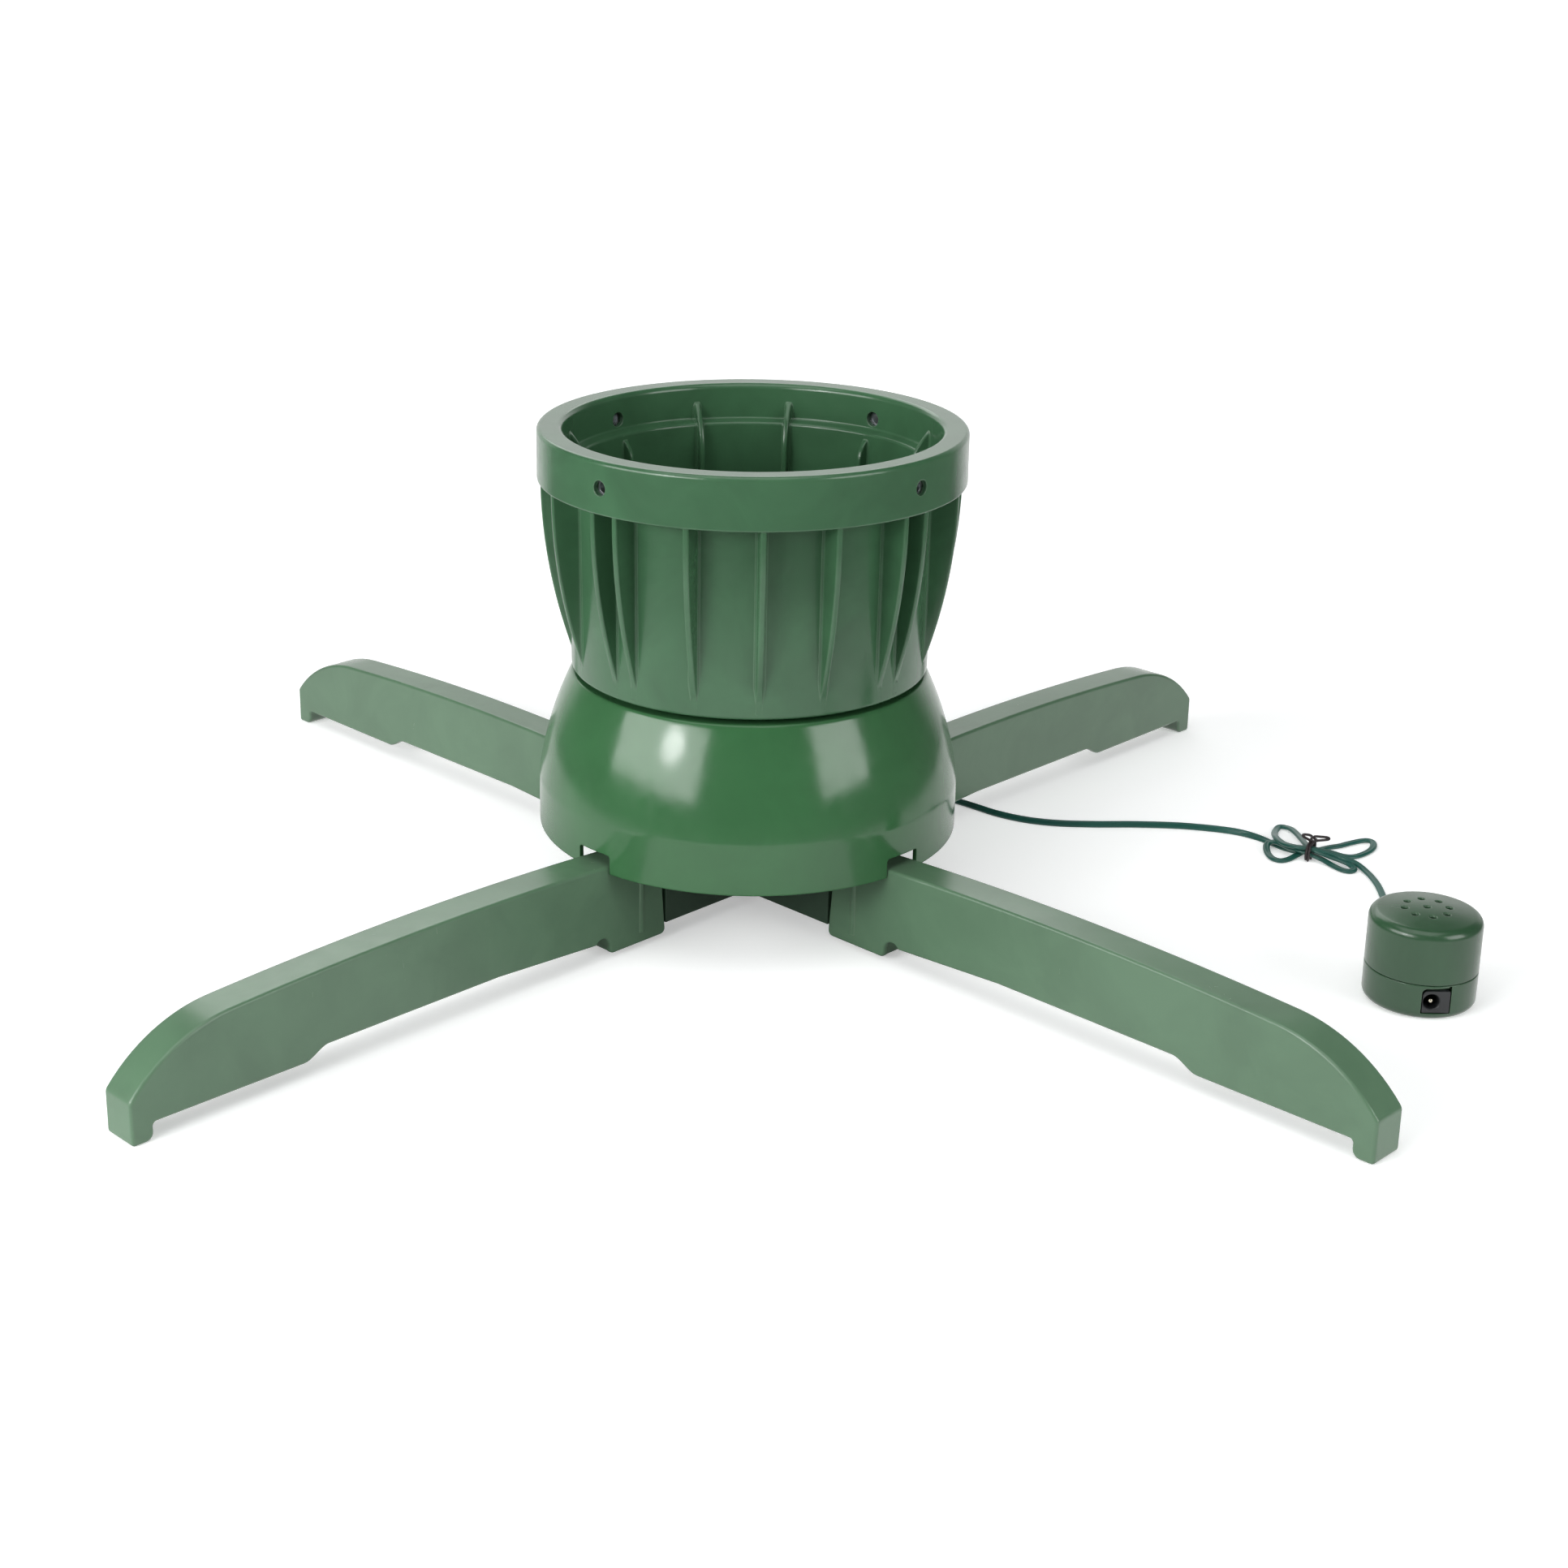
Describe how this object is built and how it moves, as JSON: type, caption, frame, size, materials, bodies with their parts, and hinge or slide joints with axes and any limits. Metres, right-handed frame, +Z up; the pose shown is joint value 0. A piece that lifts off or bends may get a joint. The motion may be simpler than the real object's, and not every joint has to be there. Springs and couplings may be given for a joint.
{
  "type": "rotating tree stand",
  "caption": "Rotating Christmas tree stand: finned trunk bucket turned by a geared motor over a bell hood, plug-in legs, and a corded speaker pod with a power socket.",
  "frame": {"origin": "on the floor, under the bucket's axis, midway between the four feet", "axes": "+Z up along the bucket's axis, -Y towards the front, the legs at 45 degrees to X and Y, the pod on the +X side"},
  "size_m": [0.5274, 0.466, 0.213],
  "materials": {
    "bucket_green": "satin moulded polypropylene",
    "hood_green": "glossy moulded polypropylene",
    "leg_green": "satin moulded polypropylene",
    "pod_green": "satin moulded ABS",
    "zinc_steel": "bright zinc plate",
    "bearing_steel": "polished hardened steel",
    "motor_steel": "zinc plated sheet",
    "brass": "turned",
    "acetal": "moulded acetal",
    "cord_green": "soft PVC",
    "black_rubber": "matt",
    "black_plastic": "moulded",
    "speaker_paper": "pressed paper",
    "circuit_green": "solder mask"
  },
  "bodies": {
    "base": {"lower_race": "bearing_steel", "upper_bush": "acetal", "lower_bush": "acetal", "base_hub": "leg_green", "leg_front_left": "leg_green", "leg_front_right": "leg_green", "leg_back_left": "leg_green", "leg_back_right": "leg_green", "hood": "hood_green", "hood_screws": "zinc_steel", "gear_motor": "motor_steel", "motor_screws": "zinc_steel", "motor_leads": "cord_green", "cord_grommet": "black_rubber", "cord_to_base": "cord_green", "cord_hank": "cord_green", "twist_tie": "black_plastic", "cord_to_pod": "cord_green", "pod_grommet": "black_rubber", "pod_cap": "pod_green", "pod_base": "pod_green", "pod_screws": "zinc_steel", "speaker_basket": "motor_steel", "speaker_cone": "speaker_paper", "speaker_magnet": "motor_steel", "circuit_board": "circuit_green", "power_jack": "black_plastic", "jack_pin": "brass"},
    "bucket": {"tree_bucket": "bucket_green", "screw_inserts": "zinc_steel", "drive_gear": "acetal", "gear_screws": "zinc_steel", "spindle": "zinc_steel", "upper_race": "bearing_steel", "spindle_washer": "zinc_steel", "lock_nut": "zinc_steel"},
    "ball_ring": {"ball_cage": "acetal", "bearing_balls": "bearing_steel"},
    "pinion": {"motor_shaft": "zinc_steel", "drive_pinion": "acetal"}
  },
  "joints": [
    {"name": "bucket_spin", "type": "hinge", "parent": "base", "child": "bucket", "pos_m": [0, 0, 0.1], "axis": [0, 0, 1], "continuous": true},
    {"name": "cage_spin", "type": "hinge", "parent": "base", "child": "ball_ring", "pos_m": [0, 0, 0.091], "axis": [0, 0, 1], "continuous": true},
    {"name": "pinion_spin", "type": "hinge", "parent": "base", "child": "pinion", "pos_m": [0.03606, 0.03606, 0.09], "axis": [0, 0, 1], "continuous": true}
  ],
  "couplings": [
    {"joint": "cage_spin", "follows": "bucket_spin", "ratio": 0.5},
    {"joint": "pinion_spin", "follows": "bucket_spin", "ratio": -4.6667}
  ]
}
